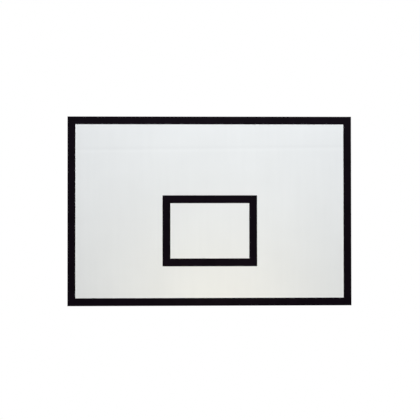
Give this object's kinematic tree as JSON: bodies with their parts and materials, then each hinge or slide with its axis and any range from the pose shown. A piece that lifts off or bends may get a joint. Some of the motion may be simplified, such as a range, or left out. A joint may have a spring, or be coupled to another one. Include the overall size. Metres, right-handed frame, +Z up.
{
  "type": "basketball backboard",
  "caption": "Rectangular white basketball backboard with a black border and inner rectangle, on a galvanised steel tube frame with a ring plate and angle brackets for a support.",
  "frame": {"origin": "centre of the support bolt pattern, on the plane where the brackets meet the support", "axes": "+X along the board to the right as seen by a player, +Y from the playing face to the support, +Z up"},
  "size_m": [1.8, 0.0702, 1.2],
  "materials": {
    "plywood": "plain",
    "face_laminate": "satin",
    "back_laminate": "satin",
    "edge_band": "matte",
    "line_film": "satin",
    "galvanised_tube": "galvanised",
    "galvanised_plate": "galvanised",
    "zinc_plate": "zinc plated"
  },
  "bodies": {
    "root": {"panel_core": "plywood", "face_laminate": "face_laminate", "back_laminate": "back_laminate", "edge_band_top": "edge_band", "edge_band_bottom": "edge_band", "edge_band_left": "edge_band", "edge_band_right": "edge_band", "border_line_top": "line_film", "border_line_bottom": "line_film", "border_line_left": "line_film", "border_line_right": "line_film", "target_line_top": "line_film", "target_line_bottom": "line_film", "target_line_left": "line_film", "target_line_right": "line_film", "frame_top_rail": "galvanised_tube", "frame_bottom_rail": "galvanised_tube", "frame_left_stile": "galvanised_tube", "frame_right_stile": "galvanised_tube", "frame_left_upright": "galvanised_tube", "frame_right_upright": "galvanised_tube", "frame_left_side_rail": "galvanised_tube", "frame_right_side_rail": "galvanised_tube", "frame_centre_rail": "galvanised_tube", "frame_ring_rail": "galvanised_tube", "ring_plate": "galvanised_plate", "bracket_lower_left": "galvanised_plate", "bracket_lower_right": "galvanised_plate", "bracket_upper_left": "galvanised_plate", "bracket_upper_right": "galvanised_plate", "panel_bolts": "zinc_plate", "panel_washers": "zinc_plate", "panel_inserts": "zinc_plate", "bracket_bolts": "zinc_plate", "bracket_washers": "zinc_plate", "bracket_nuts": "zinc_plate"}
  },
  "joints": []
}
